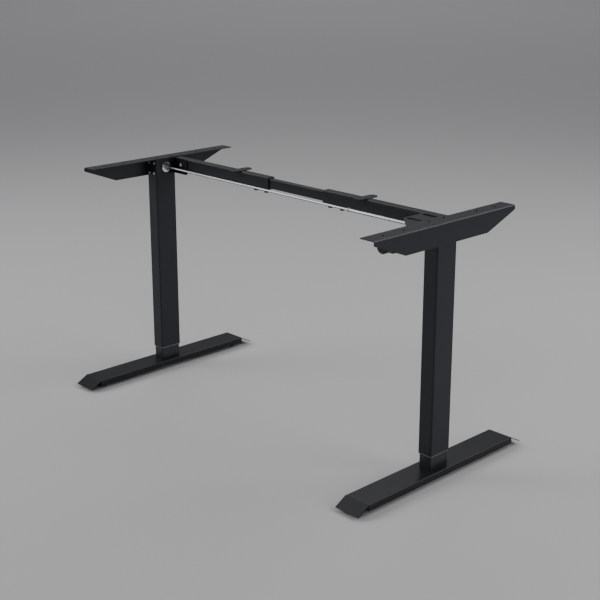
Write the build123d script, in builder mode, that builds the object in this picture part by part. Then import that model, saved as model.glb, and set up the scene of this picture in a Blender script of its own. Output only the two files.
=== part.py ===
from build123d import *
import math
import os

# Height-adjustable desk frame: two telescopic columns on feet, joined by a telescopic rail.
# One motor in the right column turns both lead screws through a hexagonal shaft.
# +X runs along the rail towards the motor, +Y to the rail side, +Z up. Origin on the floor, midway.

# ---- overall sizes ----
frame_height = 700.0
column_spacing = 1150.0
lift_travel = 450.0

# ---- foot ----
foot_length = 660.0
foot_width = 80.0
foot_top = 30.0
foot_sheet = 2.5
foot_flange = 17.0
flap_run = 38.0
flap_drop = 20.4
glide_inset = 25.0
glide_radius = 19.0
glide_pad = 8.0
glide_chamfer = 3.0
glide_edge = 0.8
glide_hex = 14.0
glide_hex_height = 5.0
stem_radius = 4.0
weld_nut_height = 6.5
weld_nut_flats = 13.0
stiffener_length = 160.0
stiffener_sheet = 4.0
stiffener_chamfer = 6.0
foot_bolt_radius = 3.0
foot_bolt_head = 5.5
foot_bolt_head_radius = 5.6
foot_bolt_grip = 16.0
foot_bolt_socket = 5.0
foot_bolt_socket_depth = 3.0
foot_bolt_x = 24.0
foot_bolt_y = 50.0

# ---- column ----
outer_x = 45.0
outer_y = 75.0
inner_x = 40.0
inner_y = 70.0
tube_wall = 1.5
tube_corner = 4.0
inner_corner = 3.5
column_gap = 39.0
collar_rim = 2.0
collar_depth = 30.0
slide_gap = 0.3
peg_radius = 2.4
peg_height = 21.0
peg_spacing = 35.0
peg_shift = 4.5
peg_proud = 0.4
end_block_height = 25.0
slider_plug = 18.0
slider_rim = 10.0
nut_radius = 10.9
nut_flange = 15.0
nut_plate = 4.0
head_clearance = 14.0
screw_radius = 6.0
screw_tail = 12.0
screw_chamfer = 1.0

# ---- head, gears and drive shaft ----
shaft_drop = 29.0
gearbox_height = 57.0
crown_radius = 18.0
crown_pitch = 9.0
crown_hub = 4.0
cavity_floor_gap = 6.0
cavity_roof = 6.0
crown_teeth = 24
pinion_teeth = 12
tooth_gap = 0.45
tooth_depth = 4.0
tooth_space = 2.0
gear_face = 6.0
hub_radius = 10.0
journal_radius = 2.8
press_gap = 0.03
gear_room = 1.0
rod_flats = 5.8
tube_flats = 7.8
shaft_gap = 0.1
tube_mouth = 252.0
rod_end = 450.0
bore_stop = 8.0
shaft_stand_off = 0.5
collar_radius = 5.7
collar_length = 4.0
bush_radius = 16.0
bush_lip = 4.0
bush_chamfer = 1.2
bush_spigot = 12.0
head_screw_x = 24.0
head_screw_z = 32.0
head_screw_top = 14.0
head_screw_radius = 2.0
head_screw_head = 4.0
head_screw_height = 2.4
head_screw_round = 1.2
head_screw_length = 13.0
head_screw_hole = 16.0
head_screw_socket = 2.6
head_screw_socket_depth = 1.4

# ---- side bracket ----
bracket_length = 546.0
bracket_sheet = 2.5
bracket_depth = 56.5
bracket_tip = 12.5
bracket_flat = 320.0
bracket_bend = 4.5
bracket_corner = 3.0
bracket_hole = 4.25
hole_far = 434.0
hole_near = 284.0
hole_centre = 56.0
hole_shift = 16.0

# ---- rail ----
rail_y = 51.5
sleeve_y = 26.0
sleeve_z = 37.0
sleeve_wall = 2.0
sleeve_corner = 2.5
sleeve_inner_corner = 0.6
sleeve_mouth = 116.0
sleeve_stand_off = 1.0
liner_wall = 2.3
liner_rim = 2.0
liner_corner = 1.0
liner_clear = 1.0
inner_rail_length = 560.0
inner_rail_wall = 2.0
inner_rail_corner = 2.0
lock_bolt_first = 133.5
lock_bolt_pitch = 46.0
lock_bolt_radius = 4.0
lock_boss_radius = 8.0
lock_boss_height = 6.5
lock_head = 5.5
lock_head_chamfer = 0.8
tab_left = -251.0
tab_right = 266.0
tab_width = 28.0
tab_sheet = 3.0
tab_front = 17.0
tab_back = 92.0
tab_hole_inset = 12.0
tab_hole = 3.5
tab_front_corner = 6.0
tab_back_corner = 13.5
rail_plate_sheet = 2.5
rail_plate_reach = 63.5
rail_plate_height = 49.5
rail_plate_leg = 20.0
rail_plate_corner = 9.0
rail_screw_reach = 56.0
rail_screw_z = 677.0
rail_screw_top = 16.0
rail_screw_edge = 8.0
rail_screw_head = 5.0

# ---- junction plate and motor ----
junction_reach = 83.0
junction_front = 108.0
junction_back = 36.0
junction_chamfer = 60.0
junction_sheet = 3.0
junction_lip = 9.0
lip_clear = 1.0
slot_length = 46.0
slot_radius = 8.0
slot_reach = 52.0
slot_front = -42.0
slot_back = 17.5
motor_radius = 22.0
motor_wall = 2.0
motor_start = 40.5
motor_gearcase = 20.0
motor_end = 182.0
motor_cap_radius = 17.0
motor_cap_end = 222.0
motor_flange = 3.0
motor_flange_x = 42.0
motor_flange_z = 40.0
motor_flange_corner = 5.0
motor_opening = 7.0
motor_cap_rim = 3.0
motor_cap_chamfer = 3.0
motor_cap_floor = 5.0
socket_x = 14.0
socket_z = 9.0
socket_depth = 4.0
rotor_radius = 10.0
rotor_shaft = 3.0
rotor_gap = 4.0
rotor_step = 10.0
rotor_tail = 12.0
output_radius = 4.0
bearing_gap = 0.05
overcut = 1.0

# ---- worked out from the sizes above ----
column_x = column_spacing / 2
outer_bottom = foot_top + column_gap + collar_rim
flange_under = frame_height - bracket_sheet
outer_top = flange_under
shaft_z = frame_height - shaft_drop
gearbox_bottom = outer_top - gearbox_height
inner_top = gearbox_bottom - head_clearance - nut_plate - slider_rim
screw_bottom = inner_top - lift_travel - screw_tail
crown_bottom = shaft_z - crown_pitch - crown_hub
cavity_floor = crown_bottom - cavity_floor_gap
fold_y = foot_length / 2 - flap_run
glide_y = fold_y - glide_inset
sleeve_top = frame_height - tab_sheet
rail_z = sleeve_top - sleeve_z / 2
cavity_y = sleeve_y - 2 * sleeve_wall
cavity_z = sleeve_z - 2 * sleeve_wall
rail_in_y = cavity_y - 2 * liner_wall - 2 * bearing_gap
rail_in_z = cavity_z - 2 * liner_wall - 2 * bearing_gap
tube_in_x = outer_x - 2 * tube_wall
tube_in_y = outer_y - 2 * tube_wall
plug_x = tube_in_x - 2 * bearing_gap
plug_y = tube_in_y - 2 * bearing_gap
block_x = inner_x - 2 * tube_wall - 2 * bearing_gap
block_y = inner_y - 2 * tube_wall - 2 * bearing_gap

os.makedirs("parts", exist_ok=True)


def save(part, name):
    """Label a finished piece and write it as its own STEP file."""
    part.label = name
    export_step(part, f"parts/{name}.step")


def at(side, reach=0.0):
    """X of a place `reach` mm from the column's centre towards the middle of the frame."""
    return side * (column_x - reach)


def across(side, reach=0.0):
    """Upright plane across the frame at `reach` mm inwards of the column; its x is +Y, its y is +Z."""
    return Plane.YZ.offset(at(side, reach))


# ================= feet =================
def make_foot(side, label):
    with BuildPart() as foot:
        with BuildSketch(Plane.XY.offset(foot_top)):
            with Locations((at(side), 0)):
                Rectangle(foot_width, 2 * fold_y)
        extrude(amount=-foot_flange)
        long_edges = foot.edges().filter_by(Axis.Y).group_by(Axis.Z)[-1]
        fillet(long_edges, foot_sheet)
        with BuildSketch(Plane.XY.offset(foot_top - foot_sheet)):
            with Locations((at(side), 0)):
                Rectangle(foot_width - 2 * foot_sheet, 2 * fold_y)
        extrude(amount=-foot_flange, mode=Mode.SUBTRACT)
        slope = math.atan2(flap_drop, flap_run)
        for end in (-1, 1):
            tip_y = fold_y + flap_run
            tip_z = foot_top - flap_drop
            with BuildSketch(Plane.YZ.offset(at(side) - foot_width / 2)):
                with BuildLine():
                    Polyline(
                        (end * (fold_y - overcut), foot_top),
                        (end * fold_y, foot_top),
                        (end * tip_y, tip_z),
                        (end * (tip_y - foot_sheet * math.sin(slope)), tip_z - foot_sheet * math.cos(slope)),
                        (end * (fold_y - foot_sheet * math.tan(slope / 2)), foot_top - foot_sheet),
                        (end * (fold_y - overcut), foot_top - foot_sheet),
                        close=True,
                    )
                make_face()
            extrude(amount=foot_width)
        with Locations((at(side), 0, foot_top)):
            with GridLocations(foot_bolt_x, foot_bolt_y, 2, 2):
                Hole(foot_bolt_radius + slide_gap, depth=foot_sheet + overcut)
    save(foot.part, f"{label}_foot")

    with BuildPart() as stiffener:
        with BuildSketch(Plane.XY.offset(foot_top - foot_sheet)):
            with Locations((at(side), 0)):
                Rectangle(foot_width - 2 * foot_sheet - 2 * slide_gap, stiffener_length)
                with GridLocations(foot_bolt_x, foot_bolt_y, 2, 2):
                    Circle(foot_bolt_radius + slide_gap, mode=Mode.SUBTRACT)
        extrude(amount=-stiffener_sheet)
        chamfer(stiffener.edges().filter_by(Axis.Z), stiffener_chamfer)
    save(stiffener.part, f"{label}_foot_stiffener")

    bolt_seat = foot_top - foot_sheet - stiffener_sheet
    with BuildPart() as bolts:
        with Locations((at(side), 0, bolt_seat)):
            with GridLocations(foot_bolt_x, foot_bolt_y, 2, 2):
                Cylinder(foot_bolt_head_radius, foot_bolt_head,
                         align=(Align.CENTER, Align.CENTER, Align.MAX))
                Cylinder(foot_bolt_radius, foot_bolt_grip + foot_sheet + stiffener_sheet,
                         align=(Align.CENTER, Align.CENTER, Align.MIN))
        with BuildSketch(Plane.XY.offset(bolt_seat - foot_bolt_head)):
            with Locations((at(side), 0)):
                with GridLocations(foot_bolt_x, foot_bolt_y, 2, 2):
                    RegularPolygon(foot_bolt_socket / 2, 6, major_radius=False)
        extrude(amount=foot_bolt_socket_depth, mode=Mode.SUBTRACT)
    save(bolts.part, f"{label}_foot_bolts")

    with BuildPart() as nuts:
        with BuildSketch(Plane.XY.offset(foot_top - foot_sheet)):
            with Locations((at(side), -glide_y), (at(side), glide_y)):
                RegularPolygon(weld_nut_flats / 2, 6, major_radius=False)
                Circle(stem_radius + bearing_gap, mode=Mode.SUBTRACT)
        extrude(amount=-weld_nut_height)
    save(nuts.part, f"{label}_foot_weld_nuts")


def make_glide(side, end, label):
    stem_top = foot_top - foot_sheet - slide_gap
    with BuildPart() as glide:
        with BuildSketch(Plane.XY):
            with Locations((at(side), end * glide_y)):
                Circle(glide_radius)
        extrude(amount=glide_pad)
        top_rim = glide.edges().group_by(Axis.Z)[-1]
        chamfer(top_rim, glide_chamfer)
        fillet(glide.edges().group_by(Axis.Z)[0], glide_edge)
        with BuildSketch(Plane.XY.offset(glide_pad)):
            with Locations((at(side), end * glide_y)):
                RegularPolygon(glide_hex / 2, 6, major_radius=False)
        extrude(amount=glide_hex_height)
        with BuildSketch(Plane.XY.offset(glide_pad)):
            with Locations((at(side), end * glide_y)):
                Circle(stem_radius)
        extrude(amount=stem_top - glide_pad)
    save(glide.part, label)


# ================= columns =================
def tube_ring(length_x, length_y, wall, corner, side):
    """Sketch of a rectangular tube's wall, centred on the column."""
    with Locations((at(side), 0)):
        RectangleRounded(length_x, length_y, corner)
        RectangleRounded(length_x - 2 * wall, length_y - 2 * wall, corner - wall, mode=Mode.SUBTRACT)


def make_inner_column(side, label):
    with BuildPart() as inner_tube:
        with BuildSketch(Plane.XY.offset(foot_top)):
            tube_ring(inner_x, inner_y, tube_wall, inner_corner, side)
        extrude(amount=inner_top - foot_top)
    save(inner_tube.part, f"{label}_inner_tube")

    with BuildPart() as end_block:
        with BuildSketch(Plane.XY.offset(foot_top)):
            with Locations((at(side), 0)):
                RectangleRounded(block_x, block_y, tube_corner - tube_wall)
                with GridLocations(foot_bolt_x, foot_bolt_y, 2, 2):
                    Circle(foot_bolt_radius + bearing_gap, mode=Mode.SUBTRACT)
        extrude(amount=end_block_height)
    save(end_block.part, f"{label}_tube_end_block")

    rim_x = tube_in_x - 2 * slide_gap
    rim_y = tube_in_y - 2 * slide_gap
    with BuildPart() as slider:
        with BuildSketch(Plane.XY.offset(inner_top)):
            with Locations((at(side), 0)):
                RectangleRounded(rim_x, rim_y, tube_corner - tube_wall)
                Circle(nut_radius + bearing_gap, mode=Mode.SUBTRACT)
        extrude(amount=slider_rim)
        with BuildSketch(Plane.XY.offset(inner_top)):
            with Locations((at(side), 0)):
                RectangleRounded(block_x, block_y, tube_corner - tube_wall)
                Circle(nut_radius + bearing_gap, mode=Mode.SUBTRACT)
        extrude(amount=-slider_plug)
    save(slider.part, f"{label}_tube_slider")

    with BuildPart() as nut:
        with BuildSketch(Plane.XY.offset(inner_top - slider_plug)):
            with Locations((at(side), 0)):
                Circle(nut_radius)
        extrude(amount=slider_plug + slider_rim)
        with BuildSketch(Plane.XY.offset(inner_top + slider_rim)):
            with Locations((at(side), 0)):
                Circle(nut_flange)
        extrude(amount=nut_plate)
        with Locations((at(side), 0, inner_top + slider_rim + nut_plate)):
            Hole(screw_radius + bearing_gap)
    save(nut.part, f"{label}_lift_nut")


def make_outer_column(side, label):
    screw_mid_z = frame_height - head_screw_top - head_screw_z / 2
    with BuildPart() as outer_tube:
        with BuildSketch(Plane.XY.offset(outer_bottom)):
            tube_ring(outer_x, outer_y, tube_wall, tube_corner, side)
        extrude(amount=outer_top - outer_bottom)
        # shaft opening in the wall that faces the middle
        with BuildSketch(across(side, outer_x / 2 + overcut)):
            with Locations((0, shaft_z)):
                Circle(bush_spigot)
        extrude(amount=side * (tube_wall + 2 * overcut), mode=Mode.SUBTRACT)
        # peg holes near the mouth in the wall that faces out
        with BuildSketch(across(side, -outer_x / 2 - overcut)):
            with Locations((peg_shift, outer_bottom + peg_height - collar_rim)):
                with GridLocations(peg_spacing, 1, 2, 1):
                    Circle(peg_radius + bearing_gap)
        extrude(amount=-side * (tube_wall + 2 * overcut), mode=Mode.SUBTRACT)
        # screw holes and the motor opening in the front wall
        with BuildSketch(Plane.XZ.offset(outer_y / 2 + overcut)):
            with Locations((at(side), screw_mid_z)):
                with GridLocations(head_screw_x, head_screw_z, 2, 2):
                    Circle(head_screw_radius + bearing_gap)
            if side > 0:
                with Locations((at(side), shaft_z)):
                    Circle(motor_opening)
        extrude(amount=-tube_wall - 2 * overcut, mode=Mode.SUBTRACT)
    save(outer_tube.part, f"{label}_outer_tube")

    bore_x = inner_x + 2 * slide_gap
    bore_y = inner_y + 2 * slide_gap
    with BuildPart() as collar:
        with BuildSketch(Plane.XY.offset(outer_bottom - collar_rim)):
            with Locations((at(side), 0)):
                RectangleRounded(outer_x, outer_y, tube_corner)
                RectangleRounded(bore_x, bore_y, tube_corner - tube_wall + slide_gap, mode=Mode.SUBTRACT)
        extrude(amount=collar_rim)
        with BuildSketch(Plane.XY.offset(outer_bottom)):
            with Locations((at(side), 0)):
                RectangleRounded(plug_x, plug_y, tube_corner - tube_wall)
                RectangleRounded(bore_x, bore_y, tube_corner - tube_wall, mode=Mode.SUBTRACT)
        extrude(amount=collar_depth)
        with BuildSketch(across(side, -outer_x / 2 - peg_proud)):
            with Locations((peg_shift, outer_bottom + peg_height - collar_rim)):
                with GridLocations(peg_spacing, 1, 2, 1):
                    Circle(peg_radius)
        extrude(amount=-side * (tube_wall + peg_proud + 2 * bearing_gap))
    save(collar.part, f"{label}_tube_collar")


# ================= gears and gearbox =================
def cut_bevel(plane, radius, pitch, teeth):
    """Toothed bevel wheel in the part being built; its cone opens along the plane's normal."""
    small = pitch * (crown_radius - gear_face) / crown_radius
    with BuildSketch(plane.offset(small)) as narrow_end:
        Circle(small * radius / pitch - tooth_gap)
    with BuildSketch(plane.offset(pitch)) as wide_end:
        Circle(radius - tooth_gap)
    loft([narrow_end.sketch.face(), wide_end.sketch.face()])
    with BuildSketch(plane.offset(small)) as gaps:
        with PolarLocations(radius, teeth):
            Rectangle(tooth_depth, tooth_space)
    extrude(gaps.sketch, amount=pitch, mode=Mode.SUBTRACT)


def make_gearbox(side, label):
    with BuildPart() as housing:
        with BuildSketch(Plane.XY.offset(gearbox_bottom)):
            with Locations((at(side), 0)):
                RectangleRounded(plug_x, plug_y, tube_corner - tube_wall)
        extrude(amount=gearbox_height)
        # room for the crown wheel, then the passages of the screw, the shaft and the motor
        with BuildSketch(Plane.XY.offset(cavity_floor)):
            with Locations((at(side), 0)):
                Circle(crown_radius + gear_room)
        extrude(amount=outer_top - cavity_roof - cavity_floor, mode=Mode.SUBTRACT)
        with Locations((at(side), 0, gearbox_bottom)):
            Hole(screw_radius + slide_gap)
        with BuildSketch(across(side)):
            with Locations((0, shaft_z)):
                Circle(bush_spigot)
        extrude(amount=-side * outer_x, mode=Mode.SUBTRACT)
        if side > 0:
            with BuildSketch(Plane.XZ):
                with Locations((at(side), shaft_z)):
                    Circle(crown_pitch + gear_room)
            extrude(amount=outer_y, mode=Mode.SUBTRACT)
        screw_mid_z = frame_height - head_screw_top - head_screw_z / 2
        with BuildSketch(Plane.XZ.offset(outer_y / 2)):
            with Locations((at(side), screw_mid_z)):
                with GridLocations(head_screw_x, head_screw_z, 2, 2):
                    Circle(head_screw_radius + bearing_gap)
        extrude(amount=-head_screw_hole, mode=Mode.SUBTRACT)
    save(housing.part, f"{label}_gearbox_housing")

    with BuildPart() as screws:
        with BuildSketch(Plane.XZ.offset(outer_y / 2)):
            with Locations((at(side), screw_mid_z)):
                with GridLocations(head_screw_x, head_screw_z, 2, 2):
                    Circle(head_screw_head)
        extrude(amount=head_screw_height)
        fillet(screws.edges().group_by(Axis.Y)[0], head_screw_round)
        with BuildSketch(Plane.XZ.offset(outer_y / 2)):
            with Locations((at(side), screw_mid_z)):
                with GridLocations(head_screw_x, head_screw_z, 2, 2):
                    Circle(head_screw_radius)
        extrude(amount=-head_screw_length)
        with BuildSketch(Plane.XZ.offset(outer_y / 2 + head_screw_height)):
            with Locations((at(side), screw_mid_z)):
                with GridLocations(head_screw_x, head_screw_z, 2, 2):
                    RegularPolygon(head_screw_socket / 2, 6, major_radius=False)
        extrude(amount=-head_screw_socket_depth, mode=Mode.SUBTRACT)
    save(screws.part, f"{label}_gearbox_screws")

    with BuildPart() as lead_screw:
        with BuildSketch(Plane.XY.offset(screw_bottom)):
            with Locations((at(side), 0)):
                Circle(screw_radius)
        extrude(amount=shaft_z - crown_pitch - screw_bottom)
        chamfer(lead_screw.edges().group_by(Axis.Z)[0], screw_chamfer)
    save(lead_screw.part, f"{label}_lead_screw")

    apex_down = Plane(origin=(at(side), 0, shaft_z), z_dir=(0, 0, -1))
    with BuildPart() as crown:
        cut_bevel(apex_down, crown_radius, crown_pitch, crown_teeth)
        with BuildSketch(Plane.XY.offset(shaft_z - crown_pitch)):
            with Locations((at(side), 0)):
                Circle(hub_radius)
        extrude(amount=-crown_hub)
        with Locations((at(side), 0, shaft_z)):
            Hole(screw_radius + press_gap)
    save(crown.part, f"{label}_crown_gear")

    apex_in = Plane(origin=(at(side), 0, shaft_z), z_dir=(-side, 0, 0))
    with BuildPart() as pinion:
        cut_bevel(apex_in, crown_pitch, crown_radius, pinion_teeth)
        with BuildSketch(apex_in):
            Circle(journal_radius + press_gap)
        extrude(amount=2 * crown_radius, mode=Mode.SUBTRACT)
    save(pinion.part, f"{label}_shaft_pinion")


# ================= drive shaft =================
def hexagon(flats):
    """Hexagon on the shaft's axis, with a flat on top."""
    with Locations((0, shaft_z)):
        RegularPolygon(flats / 2, 6, major_radius=False)


def make_shaft():
    reach = crown_radius + shaft_stand_off
    right_end = at(1, reach)
    left_end = at(-1, reach)
    with BuildPart() as drive_tube:
        with BuildSketch(Plane.YZ.offset(tube_mouth)):
            hexagon(tube_flats)
        extrude(amount=right_end - tube_mouth)
        with BuildSketch(Plane.YZ.offset(tube_mouth)):
            hexagon(rod_flats + 2 * shaft_gap)
        extrude(amount=right_end - tube_mouth - bore_stop, mode=Mode.SUBTRACT)
        with BuildSketch(Plane.YZ.offset(right_end)):
            with Locations((0, shaft_z)):
                Circle(journal_radius)
        extrude(amount=gear_face + shaft_stand_off)
    save(drive_tube.part, "drive_tube")

    with BuildPart() as drive_rod:
        with BuildSketch(Plane.YZ.offset(left_end)):
            hexagon(rod_flats)
        extrude(amount=rod_end - left_end)
        with BuildSketch(Plane.YZ.offset(left_end)):
            with Locations((0, shaft_z)):
                Circle(journal_radius)
        extrude(amount=-gear_face - shaft_stand_off)
    save(drive_rod.part, "drive_rod")

    with BuildPart() as collar:
        with BuildSketch(Plane.YZ.offset(tube_mouth)):
            with Locations((0, shaft_z)):
                Circle(collar_radius)
        extrude(amount=collar_length)
        with BuildSketch(Plane.YZ.offset(tube_mouth)):
            hexagon(tube_flats + 2 * bearing_gap)
        extrude(amount=collar_length, mode=Mode.SUBTRACT)
    save(collar.part, "shaft_collar")


def make_bush(side, label, shaft_flats):
    bore = shaft_flats / math.sqrt(3) + slide_gap
    with BuildPart() as bush:
        with BuildSketch(across(side, outer_x / 2)):
            with Locations((0, shaft_z)):
                Circle(bush_radius)
        extrude(amount=-side * bush_lip)
        chamfer(bush.edges().sort_by(Axis.X, reverse=side > 0)[0], bush_chamfer)
        with BuildSketch(across(side, crown_radius + gear_room)):
            with Locations((0, shaft_z)):
                Circle(bush_spigot - bearing_gap)
        extrude(amount=-side * (outer_x / 2 - crown_radius - gear_room))
        with BuildSketch(across(side)):
            with Locations((0, shaft_z)):
                Circle(bore)
        extrude(amount=-side * outer_x, mode=Mode.SUBTRACT)
    save(bush.part, f"{label}_shaft_bush")


# ================= side brackets =================
def make_bracket(side, label):
    width = outer_x + bracket_sheet
    mid_x = at(side, -bracket_sheet / 2)
    half = bracket_length / 2
    flat = bracket_flat / 2
    with BuildPart() as bracket:
        with BuildSketch(Plane.XY.offset(flange_under)):
            with Locations((mid_x, 0)):
                Rectangle(width, bracket_length)
        extrude(amount=bracket_sheet)
        with BuildSketch(across(side, -outer_x / 2)) as cheek:
            with BuildLine():
                Polyline(
                    (-half, frame_height),
                    (half, frame_height),
                    (half, frame_height - bracket_tip),
                    (flat, frame_height - bracket_depth),
                    (-flat, frame_height - bracket_depth),
                    (-half, frame_height - bracket_tip),
                    close=True,
                )
            make_face()
            fillet(cheek.vertices().sort_by(Axis.Y)[:-2], bracket_corner)
        extrude(amount=side * bracket_sheet)
        outer_edge = bracket.edges().filter_by(Axis.Y).group_by(Axis.Z)[-1].sort_by(Axis.X)
        fillet(outer_edge[-1] if side > 0 else outer_edge[0], bracket_bend)
        with Locations((at(side), 0, frame_height)):
            with GridLocations(1, hole_far, 1, 2):
                Hole(bracket_hole, depth=bracket_sheet)
            with GridLocations(1, hole_near, 1, 2):
                Hole(bracket_hole, depth=bracket_sheet)
        with Locations((at(side, hole_shift), 0, frame_height)):
            with GridLocations(1, hole_centre, 1, 2):
                Hole(bracket_hole, depth=bracket_sheet)
    save(bracket.part, f"{label}_side_bracket")


# ================= rail =================
def make_rail_half(side, label, tab_x):
    sleeve_end = column_x - outer_x / 2 - sleeve_stand_off
    length = sleeve_end - sleeve_mouth
    mouth = Plane(origin=(side * sleeve_mouth, rail_y, rail_z), x_dir=(0, side, 0), z_dir=(side, 0, 0))
    bolt_places = [(side * (lock_bolt_first + lock_bolt_pitch * n), rail_y) for n in range(2)]
    sleeve_bottom = rail_z - sleeve_z / 2
    bore_y = rail_in_y + 2 * bearing_gap
    bore_z = rail_in_z + 2 * bearing_gap
    with BuildPart() as sleeve:
        with BuildSketch(mouth):
            RectangleRounded(sleeve_y, sleeve_z, sleeve_corner)
            RectangleRounded(cavity_y, cavity_z, sleeve_inner_corner, mode=Mode.SUBTRACT)
        extrude(amount=length)
        with BuildSketch(Plane.XY.offset(sleeve_bottom)):
            with Locations(*bolt_places):
                Circle(lock_boss_radius)
        extrude(amount=-lock_boss_height)
        with BuildSketch(Plane.XY.offset(sleeve_bottom - lock_boss_height)):
            with Locations(*bolt_places):
                Circle(lock_bolt_radius + bearing_gap)
        extrude(amount=lock_boss_height + sleeve_wall + overcut, mode=Mode.SUBTRACT)
    save(sleeve.part, f"{label}_rail_sleeve")

    with BuildPart() as liner:
        with BuildSketch(mouth):
            RectangleRounded(sleeve_y, sleeve_z, sleeve_corner)
            RectangleRounded(bore_y, bore_z, liner_corner, mode=Mode.SUBTRACT)
        extrude(amount=-liner_rim)
        # the liner stops short of the first lock bolt
        with BuildSketch(mouth):
            RectangleRounded(cavity_y - 2 * bearing_gap, cavity_z - 2 * bearing_gap, liner_corner)
            RectangleRounded(bore_y, bore_z, liner_corner, mode=Mode.SUBTRACT)
        extrude(amount=lock_bolt_first - sleeve_mouth - lock_bolt_radius - liner_clear)
    save(liner.part, f"{label}_sleeve_liner")

    head_top = sleeve_bottom - lock_boss_height
    with BuildPart() as lock_bolts:
        with BuildSketch(Plane.XY.offset(head_top)):
            with Locations(*bolt_places):
                RegularPolygon(weld_nut_flats / 2, 6, major_radius=False)
        extrude(amount=-lock_head)
        chamfer(lock_bolts.edges().group_by(Axis.Z)[0], lock_head_chamfer)
        with BuildSketch(Plane.XY.offset(head_top)):
            with Locations(*bolt_places):
                Circle(lock_bolt_radius)
        extrude(amount=rail_z - rail_in_z / 2 - slide_gap - head_top)
    save(lock_bolts.part, f"{label}_rail_lock_bolts")

    with BuildPart() as tab:
        with BuildSketch(Plane.XY.offset(sleeve_top)) as outline:
            with Locations((tab_x, (tab_front + tab_back) / 2)):
                Rectangle(tab_width, tab_back - tab_front)
            fillet(outline.vertices().group_by(Axis.Y)[0], tab_front_corner)
            fillet(outline.vertices().group_by(Axis.Y)[-1], tab_back_corner)
            with Locations((tab_x, tab_back - tab_hole_inset)):
                Circle(tab_hole, mode=Mode.SUBTRACT)
        extrude(amount=tab_sheet)
    save(tab.part, f"{label}_support_tab")

    front = rail_y - sleeve_y / 2
    plate_top = sleeve_top
    leg_y = front - rail_plate_leg
    leg_screw_y = leg_y + rail_screw_edge
    screw_z = (rail_screw_z, plate_top - rail_screw_top, plate_top - rail_plate_height + rail_screw_edge)
    with BuildPart() as rail_plate:
        with BuildSketch(Plane.XZ.offset(-front)) as plate:
            with Locations((at(side, outer_x / 2 + rail_plate_reach / 2), plate_top - rail_plate_height / 2)):
                Rectangle(rail_plate_reach, rail_plate_height)
            fillet(plate.vertices().sort_by(Axis.X, reverse=side < 0)[:2], rail_plate_corner)
            with Locations((at(side, rail_screw_reach), screw_z[0])):
                Circle(head_screw_radius + bearing_gap, mode=Mode.SUBTRACT)
        extrude(amount=rail_plate_sheet)
        with BuildSketch(across(side, outer_x / 2)):
            with Locations(((leg_y + front) / 2, plate_top - rail_plate_height / 2)):
                Rectangle(front - leg_y, rail_plate_height)
            with Locations((leg_screw_y, screw_z[1]), (leg_screw_y, screw_z[2])):
                Circle(head_screw_radius + bearing_gap, mode=Mode.SUBTRACT)
        extrude(amount=-side * rail_plate_sheet)
    save(rail_plate.part, f"{label}_rail_bracket")

    with BuildPart() as rail_screws:
        with BuildSketch(Plane.XZ.offset(rail_plate_sheet - front)):
            with Locations((at(side, rail_screw_reach), screw_z[0])):
                Circle(rail_screw_head)
        extrude(amount=head_screw_height)
        with BuildSketch(Plane.XZ.offset(rail_plate_sheet - front)):
            with Locations((at(side, rail_screw_reach), screw_z[0])):
                Circle(head_screw_radius)
        extrude(amount=-rail_plate_sheet)
        with BuildSketch(across(side, outer_x / 2)):
            with Locations((leg_screw_y, screw_z[1]), (leg_screw_y, screw_z[2])):
                Circle(head_screw_radius)
        extrude(amount=-side * rail_plate_sheet)
        with BuildSketch(across(side, outer_x / 2 + rail_plate_sheet)):
            with Locations((leg_screw_y, screw_z[1]), (leg_screw_y, screw_z[2])):
                Circle(head_screw_head)
        extrude(amount=-side * head_screw_height)
    save(rail_screws.part, f"{label}_rail_bracket_screws")


def make_inner_rail():
    left_end = Plane(origin=(-inner_rail_length / 2, rail_y, rail_z), x_dir=(0, 1, 0), z_dir=(1, 0, 0))
    with BuildPart() as inner_rail:
        with BuildSketch(left_end):
            RectangleRounded(rail_in_y, rail_in_z, inner_rail_corner)
            RectangleRounded(rail_in_y - 2 * inner_rail_wall, rail_in_z - 2 * inner_rail_wall,
                             sleeve_inner_corner, mode=Mode.SUBTRACT)
        extrude(amount=inner_rail_length)
    save(inner_rail.part, "inner_rail")


# ================= junction plate and motor =================
def make_junction_plate():
    right_x = at(1, outer_x / 2 + bearing_gap)
    left_x = at(1, junction_reach)
    lip_width = rail_y - sleeve_y / 2 - rail_plate_leg - lip_clear + outer_y / 2 - tube_corner
    with BuildPart() as plate:
        with BuildSketch(Plane.XY.offset(frame_height - junction_sheet)):
            with BuildLine():
                Polyline(
                    (right_x, -junction_front),
                    (right_x, junction_back),
                    (left_x, junction_back),
                    (left_x, -junction_front + junction_chamfer),
                    close=True,
                )
            make_face()
            with Locations((at(1, slot_reach), slot_front), (at(1, slot_reach), slot_back)):
                SlotOverall(slot_length, 2 * slot_radius, mode=Mode.SUBTRACT)
        extrude(amount=junction_sheet)
        # lip welded to the column, clear of the rail bracket's leg
        with BuildSketch(Plane.YZ.offset(right_x)):
            with Locations((-outer_y / 2 + tube_corner, frame_height - junction_sheet)):
                Rectangle(lip_width, junction_lip, align=(Align.MIN, Align.MAX))
        extrude(amount=-junction_sheet)
    save(plate.part, "junction_plate")


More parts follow.
